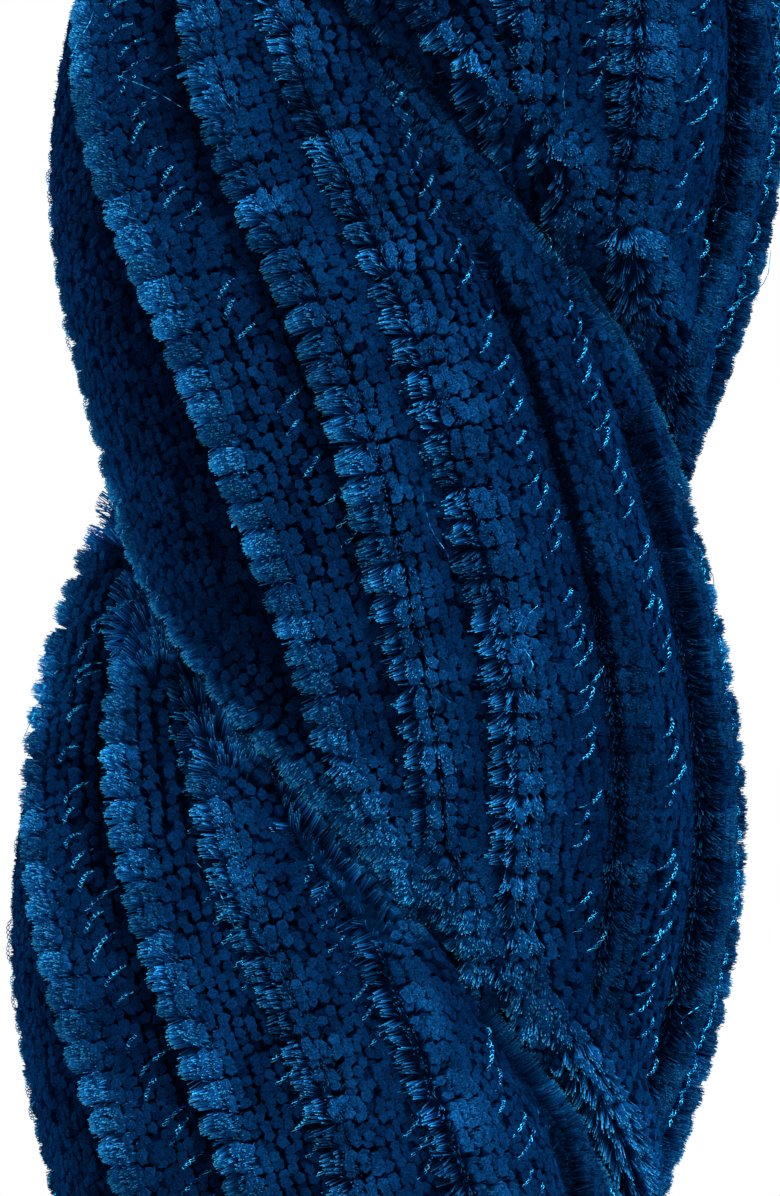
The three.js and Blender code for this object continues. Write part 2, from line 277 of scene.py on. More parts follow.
STRANDS = [
    Strand(
        "strand_1",
        phase=math.pi / 2,
        depth=5.6,
        edges=[182, 124, 98, 80, 55, 22, -8, -40, -72, -104, -138],
        slews=[4, 11, 2, 0, 0, 0, 0, 0, 0, 0, 0],
        raised=[0.7, 1, 1, 1, 0.1, 0.1, 0.5, 0.8, 1, 0.7, 0.9],
    ),
    Strand(
        "strand_2",
        phase=-math.pi / 2,
        depth=2.2,
        edges=[186, 138, 108, 88, 63, 30, 0, -30, -62, -95, -132],
        slews=[0] * 11,
        raised=[0.6, 1, 1, 0.8, 0.9, 0.2, 0.2, 0.6, 1, 0.8, 0.9],
    ),
]
BANDS = {strand.name: [Band(strand, i) for i in range(len(strand.edges))] for strand in STRANDS}
BANDS["strand_1"].append(EdgeStrip(STRANDS[0], corner=112, width=3.0, side=1, raised=0.9))
BANDS["strand_1"].append(EdgeStrip(STRANDS[0], corner=-104, width=2.2, side=-1, raised=0.12))

# ---- Mesh helpers ----


def new_object(name, points, faces_by_size, materials):
    """An object from points in millimetres and arrays of faces, one array for each number of corners."""
    mesh = bpy.data.meshes.new(name)
    mesh.vertices.add(len(points))
    mesh.vertices.foreach_set("co", (np.asarray(points, float) * MM).ravel())
    corners = np.concatenate([faces.ravel() for faces in faces_by_size])
    sizes = np.concatenate([np.full(len(faces), faces.shape[1]) for faces in faces_by_size])
    mesh.loops.add(len(corners))
    mesh.loops.foreach_set("vertex_index", corners.astype(np.int32))
    mesh.polygons.add(len(sizes))
    starts = np.concatenate([[0], np.cumsum(sizes)[:-1]])
    mesh.polygons.foreach_set("loop_start", starts.astype(np.int32))
    mesh.update(calc_edges=True)
    mesh.polygons.foreach_set("use_smooth", np.full(len(sizes), True))
    for material in materials:
        mesh.materials.append(material)
    piece = bpy.data.objects.new(name, mesh)
    bpy.context.scene.collection.objects.link(piece)
    return piece


def point_value(piece, name, values):
    """A value for each of a piece's points, for its material to read."""
    layer = piece.data.attributes.new(name, "FLOAT", "POINT")
    layer.data.foreach_set("value", np.asarray(values, np.float32))


def grid_faces(rows, columns, first=0):
    row, column = np.meshgrid(np.arange(rows - 1), np.arange(columns - 1), indexing="ij")
    corner = first + row * columns + column
    return np.stack([corner, corner + columns, corner + columns + 1, corner + 1], axis=-1).reshape(-1, 4)


# ---- Materials ----


class Nodes:
    """A material with a Principled shader and short ways to add nodes to it."""

    def __init__(self, name, **values):
        self.material = bpy.data.materials.new(name)
        self.material.use_nodes = True
        self.tree = self.material.node_tree
        self.shader = self.tree.nodes["Principled BSDF"]
        for key, value in values.items():
            self.shader.inputs[key.replace("_", " ")].default_value = value

    def feed(self, socket, source):
        """Gives an input another node's output or a value of its own."""
        if isinstance(source, bpy.types.NodeSocket):
            self.tree.links.new(source, socket)
        else:
            socket.default_value = source

    def add(self, kind, links=None, **settings):
        node = self.tree.nodes.new(kind)
        for key, value in settings.items():
            setattr(node, key, value)
        for socket, source in (links or {}).items():
            self.feed(node.inputs[socket], source)
        return node

    def noise(self, scale, detail=3, roughness=0.55, stretch=None):
        """Noise in the piece's own space, drawn out along the axes where `stretch` is small."""
        place = self.add("ShaderNodeTexCoord").outputs["Object"]
        if stretch:
            place = self.add("ShaderNodeMapping", {"Vector": place, "Scale": stretch}).outputs[0]
        links = {"Vector": place, "Scale": scale, "Detail": detail, "Roughness": roughness}
        return self.add("ShaderNodeTexNoise", links).outputs["Fac"]

    def value(self, name):
        return self.add("ShaderNodeAttribute", attribute_name=name).outputs["Fac"]

    def ramp(self, factor, stops):
        node = self.add("ShaderNodeValToRGB", {"Fac": factor})
        while len(node.color_ramp.elements) < len(stops):
            node.color_ramp.elements.new(0.5)
        for element, (position, color) in zip(node.color_ramp.elements, stops):
            element.position = position
            element.color = (*color, 1)
        return node.outputs["Color"]

    def mix(self, factor, first, second, blend="MIX"):
        node = self.add("ShaderNodeMix", data_type="RGBA", blend_type=blend)
        sockets = [s for s in node.inputs if s.enabled or s.type == "RGBA"]
        colors = [s for s in sockets if s.type == "RGBA"]
        for socket, source in ((node.inputs[0], factor), (colors[0], first), (colors[1], second)):
            self.feed(socket, source)
        return next(s for s in node.outputs if s.type == "RGBA")

    def math(self, operation, first, second=0.0, third=0.0):
        node = self.add("ShaderNodeMath", operation=operation)
        for socket, source in zip(node.inputs, (first, second, third)):
            self.feed(socket, source)
        return node.outputs[0]

    def rubbing(self, scale):
        """Fine marks drawn out round the vertical."""
        return self.noise(scale, 3, 0.7, stretch=(0.06, 0.06, 1))

    def color(self, source):
        self.tree.links.new(source, self.shader.inputs["Base Color"])

    def roughness(self, factor, low, high):
        node = self.add("ShaderNodeMapRange", {"Value": factor, "To Min": low, "To Max": high})
        self.tree.links.new(node.outputs[0], self.shader.inputs["Roughness"])

    def bump(self, height, distance, strength=1.0):
        links = {"Height": height, "Distance": distance, "Strength": strength}
        node = self.add("ShaderNodeBump", links)
        self.tree.links.new(node.outputs[0], self.shader.inputs["Normal"])


# The velvet's colours, from its deepest painted shade to the thread's painted glint
DEEP = (0.0003, 0.0060, 0.0210)
NAVY = (0.0005, 0.0150, 0.0620)
INK_BLUE = (0.0008, 0.0195, 0.0980)
ROYAL = (0.0015, 0.0500, 0.2350)
AZURE = (0.0080, 0.1750, 0.5800)
CYAN = (0.0300, 0.4400, 0.8200)
GLINT = (0.0400, 0.5000, 0.8500)


def pile_material():
    """Cut pile: painted shade darkens its roots and cut ends, painted sheen brightens tips, most on a fringe.
    """
    m = Nodes("velvet_pile", Specular_IOR_Level=0.0, Sheen_Weight=0.05, Sheen_Roughness=0.5)
    m.shader.inputs["Sheen Tint"].default_value = (0.0, 0.25, 1.0, 1)
    height = m.value("height")
    # Painted shade: the sides darken towards their roots, where shade falls between the tufts.
    side = m.ramp(height, [(0.0, DEEP), (0.35, NAVY), (0.8, INK_BLUE)])
    # Painted sheen: on a fringe the sides brighten towards their tips, as if side-lit.
    fringe = m.ramp(height, [(0.0, NAVY), (0.35, ROYAL), (0.9, AZURE), (1.0, CYAN)])
    color = m.mix(m.value("fringe"), side, fringe)
    fine = m.noise(9000, 2)
    # Painted shade on the cut ends, which are darker than the sides; on a fringe they get painted sheen.
    ends = m.ramp(fine, [(0.36, DEEP), (0.5, NAVY), (0.7, INK_BLUE)])
    painted_sheen_ends = m.ramp(fine, [(0.34, NAVY), (0.52, ROYAL), (0.72, AZURE)])
    color = m.mix(m.value("cut_end"), color, m.mix(m.value("fringe"), ends, painted_sheen_ends))
    patch = m.ramp(m.noise(380, 4), [(0.32, (0.6, 0.62, 0.66)), (0.68, (1.3, 1.25, 1.2))])
    color = m.mix(1.0, color, patch, "MULTIPLY")
    # Painted light and shade with random tone: brighter on raised edges, darker in the folds.
    shade = m.ramp(m.value("shade"), [(0.0, (0.16, 0.18, 0.20)), (1.0, (1.5, 1.3, 1.15))])
    m.color(m.mix(1.0, color, shade, "MULTIPLY"))
    m.bump(fine, 0.0001, 0.7)
    m.roughness(m.noise(900, 2), 0.6, 0.95)
    return m.material


def backing_material():
    """The velvet's woven ground, seen only between tufts."""
    m = Nodes("velvet_ground", Specular_IOR_Level=0.0)
    weave = m.noise(1500, 2)
    m.color(m.ramp(weave, [(0.35, DEEP), (0.7, NAVY)]))
    m.roughness(weave, 0.8, 1.0)
    m.bump(weave, 0.0002)
    return m.material


def thread_material():
    """The shiny stitching thread, its colour painted with glints."""
    m = Nodes("stitch_thread", Metallic=1.0)
    glint = m.noise(2600, 3)
    m.shader.inputs["Specular Tint"].default_value = (0.2, 0.85, 1.0, 1)
    # Painted glints and shade: noise makes bright cyan spots and dark stretches along the thread.
    m.color(m.ramp(glint, [(0.38, NAVY), (0.48, ROYAL), (0.55, CYAN), (0.62, GLINT)]))
    m.roughness(glint, 0.3, 0.5)
    return m.material


VELVET = pile_material()
GROUND = backing_material()
THREAD = thread_material()

# ---- The velvet bands and their pile ----

SEEN_WAIST = 3 * LAY  # rope length to the waist that the camera looks at
SEEN = (SEEN_WAIST - 33, SEEN_WAIST + 44)  # the stretch that carries the finest pile
COARSE_SPANS = [(TUCK - 6, SEEN[0]), (SEEN[1], 520), (520, 775), (775, ROPE_LENGTH - TUCK + 6)]
PILE_HEIGHT = 1.1
CLUMP = 1.35  # pile leans together in clumps of about this length
DIMPLE_PITCH = 1.0  # of the lattice of gaps between tufts
CRUSHED = -0.82  # pile facing the other strand more squarely than this is crushed flat
BEHIND = -0.45  # pile facing away from the camera more squarely than this is on the far side
SCATTER = 0.2  # how far a tuft strays from its row, as a share of the pitch
# Shares of a band's profile, from its rolled edge at 0
FACE_SHARES = (ROLL_SHARE * 0.8, 0.96)
FRINGE_SHARES = (0, ROLL_SHARE * 1.3)
TURNING = (ROLL_SHARE * 0.8, ROLL_SHARE * 1.9)  # where the pile stops turning over with the edge
TUCKING = (0.45, 0.95)  # where the next band comes over it
# Painted light: LIT spans the shares where a raised edge's painted brightness fades out.
LIT = (0.2, 0.65)  # where a raised edge stops catching the light
NEAR_FACE = {"pitch": (0.405, 0.375), "size": 0.33, "sides": 5, "count": 4, "width": 0.027}
NEAR_FRINGE = {"pitch": (0.26, 0.24), "count": 6, "width": 0.03}
BEHIND_FACE = {"pitch": (1.5, 1.4), "size": 0.9, "sides": 4, "count": 4, "width": 0.12}
BEHIND_FRINGE = {"pitch": (0.9, 0.7), "count": 3, "width": 0.12}
COARSE_FACE = {"pitch": (1.8, 1.6), "size": 1.05, "sides": 4, "count": 3, "width": 0.15}
COARSE_FRINGE = {"pitch": (1.1, 0.8), "count": 2, "width": 0.15}
STITCH_PITCH = 1.05
COARSE_STITCH_PITCH = 1.5 * STITCH_PITCH
STITCH_REACH = 1.45
NEAR_STITCHES = {"strands": 2, "steps": 22, "radius": 0.027}
COARSE_STITCHES = {"strands": 1, "steps": 3, "radius": 0.1}
STRAY_FIBRES = 16
STRAY_RADIUS = 0.022
STITCH_ROWS = [(2.6,), (2.9, 5.2), (2.2,), (2.4, 4.6)]  # each row's distance from a band's left edge


def stretch_steps(step, fine_step):
    """Distances along the rope, closer together on the stretch seen from near by."""
    before = np.linspace(0.3, SEEN[0], round(SEEN[0] / step), endpoint=False)
    seen = np.linspace(SEEN[0], SEEN[1], round((SEEN[1] - SEEN[0]) / fine_step), endpoint=False)
    after = np.linspace(SEEN[1], ROPE_LENGTH - 0.3, round((ROPE_LENGTH - SEEN[1]) / step))
    return np.concatenate([before, seen, after])


def bands_mesh(strand):
    """A strand's velvet bands and the lining that they are sewn to, without their pile."""
    at = stretch_steps(2.0, 1.0)
    shares = np.concatenate([np.linspace(0, ROLL_SHARE, 4, endpoint=False), np.linspace(ROLL_SHARE, 1, 6)])
    grid_at, grid_share = np.meshgrid(at, shares, indexing="ij")
    points, faces = [], []
    for band in BANDS[strand.name]:
        grid = grid_faces(len(at), len(shares), sum(len(p) for p in points))
        faces.append(grid if band.side > 0 else grid[:, ::-1])
        points.append(band.point(grid_at.ravel(), grid_share.ravel()))
    columns = LINING_SIDES + 1
    round_at, girth = np.meshgrid(at, np.linspace(0, strand.girth, columns), indexing="ij")
    faces.append(grid_faces(len(at), columns, sum(len(p) for p in points))[:, ::-1])
    points.append(strand.surface(round_at.ravel(), girth.ravel(), np.full(girth.size, -LINING_DEPTH)))
    return new_object(f"{strand.name}_bands", np.vstack(points), [np.vstack(faces)], [GROUND])


def scatter(band, start, end, pitch_along, pitch_across, first, last):
    """Rows of places on a band, a little out of line: their distances along and shares across."""
    rows = max(int((end - start) / pitch_along), 1)
    at = start + (np.arange(rows) + 0.5) * (end - start) / rows
    left, right = band.edges_at(np.array([(start + end) / 2]))
    width = band.side * float(left[0] - right[0]) + FOLDED_WIDTH
    columns = max(int(width * (last - first) / pitch_across), 3)
    share = first + (np.arange(columns) + 0.5) / columns * (last - first)
    grid_at, grid_share = np.meshgrid(at, share, indexing="ij")
    grid_at = grid_at + (np.arange(len(share)) % 2)[None, :] * 0.5 * (end - start) / rows
    grid_at = grid_at + RNG.uniform(-SCATTER, SCATTER, grid_at.shape) * pitch_along
    grid_share = grid_share + RNG.uniform(-SCATTER, SCATTER, grid_share.shape) * (last - first) / columns
    return grid_at.ravel(), np.clip(grid_share, 0.01, 0.99).ravel()


def random_of(number, salt):
    """A fixed random share for each whole number."""
    return np.modf(np.abs(np.sin(number * 12.9898 + salt * 78.233) * 43758.5453))[0]


def clump_of(band, at):
    """Pile leans together in clumps along a band: how far off a clump's middle is, and its random share."""
    salt = band.wander[3]
    number = np.floor(at / CLUMP + 0.25 * np.sin(at / 5.3 + salt))
    middle = (number + 0.5 + 0.3 * (random_of(number, salt) - 0.5)) * CLUMP
    middle = middle - 0.25 * CLUMP * np.sin(at / 5.3 + salt)
    return np.clip(middle - at, -CLUMP, CLUMP), random_of(number, salt + 1)


class Pile:
    """Columns and fibres of pile gathered from many places into one mesh."""

    def __init__(self):
        self.points = []
        self.faces = {}
        self.values = {"height": [], "fringe": [], "shade": [], "cut_end": []}
        self.count = 0

    def put(self, points, faces, **values):
        """Adds many small shapes: points for each shape, and faces by their number of corners."""
        shapes, corners = points.shape[:2]
        first = self.count + np.arange(shapes)[:, None, None] * corners
        for face in faces:
            many = (first + np.asarray(face)[None]).reshape(-1, np.asarray(face).shape[1])
            self.faces.setdefault(many.shape[1], []).append(many)
        self.points.append(points.reshape(-1, 3))
        for key, value in values.items():
            self.values[key].append(np.broadcast_to(value, (shapes, corners)).reshape(-1))
        self.count += shapes * corners

    def columns(self, root, up, ahead, tall, size, sides, fringe, shade):
        """A flaring column of pile at each root, with a ragged cut end."""
        across = np.cross(up, ahead)
        turn = np.arange(sides) / sides * 2 * np.pi + RNG.uniform(0, 6.28, len(root))[:, None]
        around = ahead[:, None] * np.cos(turn)[..., None] + across[:, None] * np.sin(turn)[..., None]
        foot = root[:, None] + around * size * 0.55
        flare = size * RNG.uniform(0.72, 1.2, (len(root), sides, 1))
        rim_height = tall[:, None, None] * RNG.uniform(0.82, 1.0, (len(root), sides, 1))
        rim = root[:, None] + up[:, None] * rim_height + around * flare
        middle = root[:, None] + up[:, None] * tall[:, None, None]
        corner = np.arange(sides)
        after = (corner + 1) % sides
        walls = np.stack([corner, after, sides + after, sides + corner], axis=-1)
        end = np.stack([2 * sides + corner, 2 * sides + after, np.full(sides, 3 * sides)], axis=-1)
        # Heights and cut ends for the material, which paints shade on the roots and the cut ends.
        height = np.append(np.repeat([0.0, 0.9, 0.9], sides), 1.0)
        cut_end = np.append(np.repeat([0.0, 0.0, 0.85], sides), 1.0)
        points = np.concatenate([foot, rim, rim, middle], axis=1)
        values = {"fringe": fringe[:, None], "shade": shade[:, None]}
        self.put(points, [walls, end], height=height, cut_end=cut_end, **values)

    def fibres(self, root, up, tall, count, width, spread, clump, fringe, shade):
        """Blunt fibres round each root, each one thin blade."""
        for _ in range(count):
            jitter = RNG.normal(0, 1, (len(root), 3))
            lean = unit(up + spread * RNG.normal(0, 1, (len(root), 3)))
            side = unit(np.cross(lean, RNG.normal(0, 1, (len(root), 3)))) * width
            foot = root + clump * (jitter - up * np.sum(jitter * up, axis=1)[:, None])
            tip = foot + lean * (tall * RNG.uniform(0.94, 1.04, len(root)))[:, None]
            four = np.stack([foot - side, foot + side, tip + side * 0.75, tip - side * 0.75], axis=1)
            # Each fibre's painted light and shade, with a little random tone.
            tone = np.clip(shade + RNG.normal(0, 0.14, len(root)), 0, 1)
            values = {"fringe": fringe[:, None], "shade": tone[:, None]}
            self.put(four, [[[0, 1, 2, 3]]], height=np.array([0.0, 0, 1, 1]), cut_end=0.0, **values)

    def build(self, name):
        faces = [np.vstack(group) for group in self.faces.values()]
        piece = new_object(name, np.vstack(self.points), faces, [VELVET])
        for key, values in self.values.items():
            point_value(piece, key, np.concatenate(values))
        return piece


def rooted(band, at, share, keep):
    """The places on a band that `keep` allows, with the pile's direction, length, painted sheen and painted
    shade there.
    """
    root = band.point(at, share)
    up = band.normal(at, share)
    kept = keep(band, at, root, up)
    at, share, root, up = at[kept], share[kept], root[kept], up[kept]
    ahead = unit(band.point(at + 0.1, share) - root)
    off, luck = clump_of(band, at)
    turned_over = 1 - smoothstep(share, *TURNING)
    slow = 0.5 + 0.5 * np.sin(at / 4.7 + band.wander[0]) * np.sin(at / 11.3 + band.wander[1])
    # Painted sheen: the fringe value brightens the rolled edge's pile, in clumps and slow waves along the
    # band.
    painted_glow = np.clip(0.15 + 1.3 * luck**2 + 0.4 * slow, 0, 1.3)
    rolled = turned_over * (0.2 + 0.8 * band.raised)
    fringe = rolled * (painted_glow + band.painted_sheen)
    pull = (0.08 + 0.32 * rolled) * off
    tucked = smoothstep(share, *TUCKING)
    parted = (0.2 + 0.65 * rolled) * (off / CLUMP) ** 2
    tall = PILE_HEIGHT * (1 + 0.25 * rolled - 0.35 * tucked) * (1 - parted)
    lean = unit(up * tall[:, None] + ahead * pull[:, None])
    # Painted light and shade: a raised edge is painted brighter, the tucked part darker under a raised next
    # band; random tone by clump and tuft.
    shade = 0.38 + 0.42 * band.raised * (1 - smoothstep(share, *LIT)) + 0.12 * (luck - 0.5)
    shade = shade - (0.1 + 0.5 * band.lapped_by) * tucked
    shade = np.clip(shade + RNG.normal(0, 0.1, len(at)), 0, 1)
    left, right = band.edges_at(at)
    girth = left - share * (left - right)
    dots = np.cos(2 * np.pi * at / DIMPLE_PITCH) * np.cos(2 * np.pi * girth / DIMPLE_PITCH)
    dimple = smoothstep(dots + 0.25 * RNG.normal(0, 1, len(at)), 0.35, 0.8)
    return root, lean, ahead, tall, fringe, shade, dimple


def face_pile(pile, band, start, end, keep, pitch, size, sides, count, width):
    """Pile all over a band."""
    at, share = scatter(band, start, end, *pitch, *FACE_SHARES)
    root, lean, ahead, tall, fringe, shade, dimple = rooted(band, at, share, keep)
    ahead = unit(ahead - lean * np.sum(ahead * lean, axis=1)[:, None])
    tall = tall * RNG.uniform(0.92, 1.03, len(tall)) * (1 - 0.3 * dimple)
    # Painted shade: tufts at the lattice of gaps are also painted darker.
    shade = np.clip(shade - 0.4 * dimple, 0, 1)
    # The column ends get less of the painted sheen than the fibres.
    pile.columns(root, lean, ahead, tall * 0.93, size, sides, fringe * 0.35, shade)
    pile.fibres(root, lean, tall, count, width, 0.12, size * 0.7, fringe, shade)


def fringe_pile(pile, band, start, end, keep, pitch, count, width):
    """Denser and longer pile along a band's rolled edge."""
    at, share = scatter(band, start, end, *pitch, *FRINGE_SHARES)
    root, lean, ahead, tall, fringe, shade, _ = rooted(band, at, share, keep)
    pile.fibres(root, lean, tall, count, width, 0.03, pitch[0] * 0.45, fringe, shade)


def outside_contact(band, at, root, normal):
    """Leaves out the pile crushed between the strands."""
    strand = band.strand
    angle = strand.lay_angle(at)
    inside = unit(np.cross(FRONT, along_route(TANGENTS, at)))
    outward = inside * np.cos(angle)[:, None] + FRONT * np.sin(angle)[:, None]
    return np.sum(normal * outward, axis=1) > CRUSHED


def seen_side(band, at, root, normal):
    return outside_contact(band, at, root, normal) & (normal @ FRONT > BEHIND)


def far_side(band, at, root, normal):
    return outside_contact(band, at, root, normal) & (normal @ FRONT <= BEHIND)


def surface_point(band, at, share, height):
    """Points at a height above a band."""
    return band.point(at, share) + band.normal(at, share) * np.asarray(height)[..., None]


class Threads:
    """Round threads gathered into one mesh, from lines shaped (lines, points, 3)."""

    def __init__(self):
        self.points = []
        self.quads = []
        self.caps = []
        self.count = 0

    def add(self, lines, radius):
        count, steps = lines.shape[:2]
        along = unit(np.gradient(lines, axis=1))
        helper = np.where(np.abs(along[..., 2:]) < 0.8, [[[0.0, 0, 1]]], [[[1.0, 0, 0]]])
        side = unit(np.cross(along, helper))[:, :, None]
        other = np.cross(along, side[:, :, 0])[:, :, None]
        turn = np.arange(3) / 3 * 2 * np.pi
        thick = radius * np.ones((steps, 1, 1))
        thick[[0, -1]] *= 0.4
        ring = side * np.cos(turn)[:, None] + other * np.sin(turn)[:, None]
        self.points.append((lines[:, :, None] + ring * thick).reshape(-1, 3))
        corner = np.arange(3)
        after = (corner + 1) % 3
        step = np.arange(steps - 1)[:, None, None] * 3
        wall = np.stack([corner, after, 3 + after, 3 + corner], axis=-1) + step
        first = self.count + np.arange(count)[:, None, None] * steps * 3
        self.quads.append((first + wall.reshape(-1, 4)).reshape(-1, 4))
        self.caps.append((first + np.stack([corner[::-1], (steps - 1) * 3 + corner])).reshape(-1, 3))
        self.count += count * steps * 3

    def build(self, name):
        faces = [np.vstack(self.quads), np.vstack(self.caps)]
        return new_object(name, np.vstack(self.points), faces, [THREAD])


def stitches(threads, bands, start, end, pitch, keep, strands, steps, radius):
    """Slanting stitches along a strand's bands, each of one thread or two twisted together."""
    lapped = bands[: len(bands[0].strand.edges)]
    rows = [(band, place) for n, band in enumerate(lapped) for place in STITCH_ROWS[n % len(STITCH_ROWS)]]
    way = np.linspace(0, 1, steps)
    for band, place in rows:
        at = np.arange(start, end, pitch)
        at = at + RNG.uniform(-0.12, 0.12, len(at))
        left, right = band.edges_at(at)
        width = np.maximum(left - right, 2.0)
        share = np.clip(place / width + RNG.uniform(-0.02, 0.02, len(at)), 0.12, 0.9)
        kept = keep(band, at, band.point(at, share), band.normal(at, share)) & (share < 0.85)
        kept &= RNG.random(len(at)) < 0.8
        if not kept.any():
            continue
        at, share, width = at[kept], share[kept], width[kept]
        start_turn = RNG.uniform(0, 6.28, (len(at), 1))
        reach = STITCH_REACH * RNG.uniform(0.55, 1.1, (len(at), 1))
        slant = RNG.uniform(0.45, 0.8, (len(at), 1))
        sunk = RNG.uniform(-0.08, 0.08, (len(at), 1))
        for strand in range(strands):
            wind = way * 7 * np.pi + strand * np.pi + start_turn
            height = PILE_HEIGHT + 0.13 - sunk - 0.4 * np.abs(2 * way - 1) ** 3 + 0.08 * np.sin(wind)
            along = at[:, None] - way * reach
            across = share[:, None] + (way * reach * slant + 0.06 * np.cos(wind)) / width[:, None]
            threads.add(surface_point(band, along, np.minimum(across, 0.95), height), radius)


def stray_fibres(threads, strand, start, end, keep):
    """A few long loose fibres lying over the pile."""
    lines = []
    way = np.linspace(0, 1, 9)
    while len(lines) < STRAY_FIBRES:
        band = BANDS[strand.name][RNG.integers(len(strand.edges))]
        at, share = RNG.uniform(start, end - 6), RNG.uniform(0.15, 0.85)
        place = np.array([at]), np.array([share])
        if not keep(band, place[0], band.point(*place), band.normal(*place))[0]:
            continue
        along = at + way * RNG.uniform(1.5, 5)
        across = share + RNG.uniform(-0.3, 0.3) * way + RNG.uniform(-0.06, 0.06) * np.sin(way * 5)
        height = PILE_HEIGHT + 0.15 + 0.35 * np.sin(way * np.pi * RNG.uniform(0.7, 1.8)) ** 2
        lines.append(surface_point(band, along, np.clip(across, 0.02, 0.98), height))
    threads.add(np.array(lines), STRAY_RADIUS)


def pile_piece(name, bands, start, end, keep, face=None, fringe=None):
    """The pile on a stretch of bands: on their faces, along their rolled edges, or both."""
    pile = Pile()
    for band in bands:
        if face:
            face_pile(pile, band, start, end, keep, **face)
        if fringe:
            fringe_pile(pile, band, start, end, keep, **fringe)
    return pile.build(name)


def equal_spans(start, end, count):
    cuts = np.linspace(start, end, count + 1)
    return enumerate(zip(cuts, cuts[1:]), 1)


def velvet_strand(strand):
    """A strand's bands, all its pile and its stitches."""
    name, bands = strand.name, BANDS[strand.name]
    pieces = [bands_mesh(strand)]
    for number, span in equal_spans(*SEEN, 3):
        pieces.append(pile_piece(f"{name}_pile_near_{number}", bands, *span, seen_side, face=NEAR_FACE))
    for number, span in equal_spans(*SEEN, 2):
        pieces.append(pile_piece(f"{name}_fringe_near_{number}", bands, *span, seen_side, fringe=NEAR_FRINGE))
    threads = Threads()
    stitches(threads, bands, *SEEN, STITCH_PITCH, seen_side, **NEAR_STITCHES)
    stray_fibres(threads, strand, *SEEN, seen_side)
    pieces.append(pile_piece(f"{name}_pile_behind", bands, *SEEN, far_side, BEHIND_FACE, BEHIND_FRINGE))
    for number, span in enumerate(COARSE_SPANS, 1):
        coarse_name = f"{name}_pile_{number}"
        pieces.append(pile_piece(coarse_name, bands, *span, outside_contact, COARSE_FACE, COARSE_FRINGE))
        stitches(threads, bands, *span, COARSE_STITCH_PITCH, outside_contact, **COARSE_STITCHES)
    pieces.append(threads.build(f"{name}_stitches"))
    return pieces


for strand in STRANDS:
    pieces = velvet_strand(strand)
    for piece in pieces:
        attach(piece, "rope")
    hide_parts(f"{strand.name}_sleeve")

# ---- The strands' filling and the bound ends ----

YARNS = 9  # lobes round a strand's filling
YARN_BULGE = 0.45
FILLER_DEPTH = 2.9
WHIPPING_TURNS = 10
WHIPPING_TOP = -72.0
WHIPPING_BOTTOM = -87.0
WHIPPING_RADIUS = (ARC_OFFSET + STRAND_ARC) * GATHER + 3.0
TWINE_RADIUS = 0.72


def cotton_material():
    m = Nodes("cotton_filler", Specular_IOR_Level=0.2)
    tone = m.noise(900, 4)
    m.color(m.ramp(tone, [(0.3, (0.52, 0.47, 0.38)), (0.7, (0.78, 0.74, 0.64))]))
    m.roughness(tone, 0.85, 1.0)
    m.bump(m.noise(3000, 2), 0.0003)
    return m.material


def twine_material():
    m = Nodes("waxed_twine", Specular_IOR_Level=0.5)
    tone = m.noise(2200, 3)
    m.color(m.ramp(tone, [(0.35, (0.020, 0.024, 0.034)), (0.65, (0.075, 0.085, 0.110))]))
    m.roughness(tone, 0.45, 0.75)
    m.bump(tone, 0.0003)
    return m.material


def wrapped_rings(rings):
    """Points and faces of a closed tube through rings of equal length, with flat ends."""
    rings = np.asarray(rings, float)
    steps, sides = rings.shape[:2]
    corner = np.arange(sides)
    after = (corner + 1) % sides
    row = np.arange(steps - 1)[:, None, None] * sides
    walls = (row + np.stack([corner, after, sides + after, sides + corner], axis=-1)).reshape(-1, 4)
    ends = np.stack([corner[::-1], (steps - 1) * sides + corner])
    return rings.reshape(-1, 3), [walls, ends]


def filler(strand):
    """The bundle of cotton yarns inside a strand, lobed where its yarns lie side by side."""
    at = np.linspace(1, ROPE_LENGTH - 1, round(ROPE_LENGTH / 5))
    share = np.arange(6 * YARNS) / (6 * YARNS)
    grid_at, grid_share = np.meshgrid(at, share, indexing="ij")
    lobes = YARN_BULGE * np.abs(np.sin(np.pi * YARNS * grid_share + grid_at / 14))
    rings = strand.surface(grid_at.ravel(), grid_share.ravel() * strand.girth, (lobes - FILLER_DEPTH).ravel())
    points, faces = wrapped_rings(rings.reshape(len(at), len(share), 3))
    piece = new_object(f"{strand.name}_filler", points, faces, [COTTON])
    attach(piece, "rope")
    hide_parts(f"{strand.name}_core")


def whipping(end, middle_x):
    """Waxed twine wound round the gathered end of the rope."""
    turn = np.linspace(0, WHIPPING_TURNS * 2 * np.pi, WHIPPING_TURNS * 40)
    x, y = middle_x + WHIPPING_RADIUS * np.cos(turn), WHIPPING_RADIUS * np.sin(turn)
    z = WHIPPING_TOP + (WHIPPING_BOTTOM - WHIPPING_TOP) * turn / turn[-1]
    line = np.stack([x, y, z], axis=-1)
    along = unit(np.gradient(line, axis=0))
    outward = np.stack([np.cos(turn), np.sin(turn), 0 * turn], axis=-1)
    other = np.cross(along, outward)
    around = np.arange(10) / 10 * 2 * np.pi
    ring = outward[:, None] * np.cos(around)[:, None] + other[:, None] * np.sin(around)[:, None]
    ply = 1 + 0.12 * np.cos(3 * around[None] + turn[:, None] * 8)
    points, faces = wrapped_rings(line[:, None] + TWINE_RADIUS * ply[..., None] * ring)
    piece = new_object(f"whipping_twine_{end}", points, faces, [TWINE])
    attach(piece, "rope")
    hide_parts(f"whipping_{end}")


COTTON = cotton_material()
TWINE = twine_material()
for strand in STRANDS:
    filler(strand)
for end, middle_x in (("a", 0), ("b", HOOK_SPACING)):
    whipping(end, middle_x)

# ---- Metal and wood ----


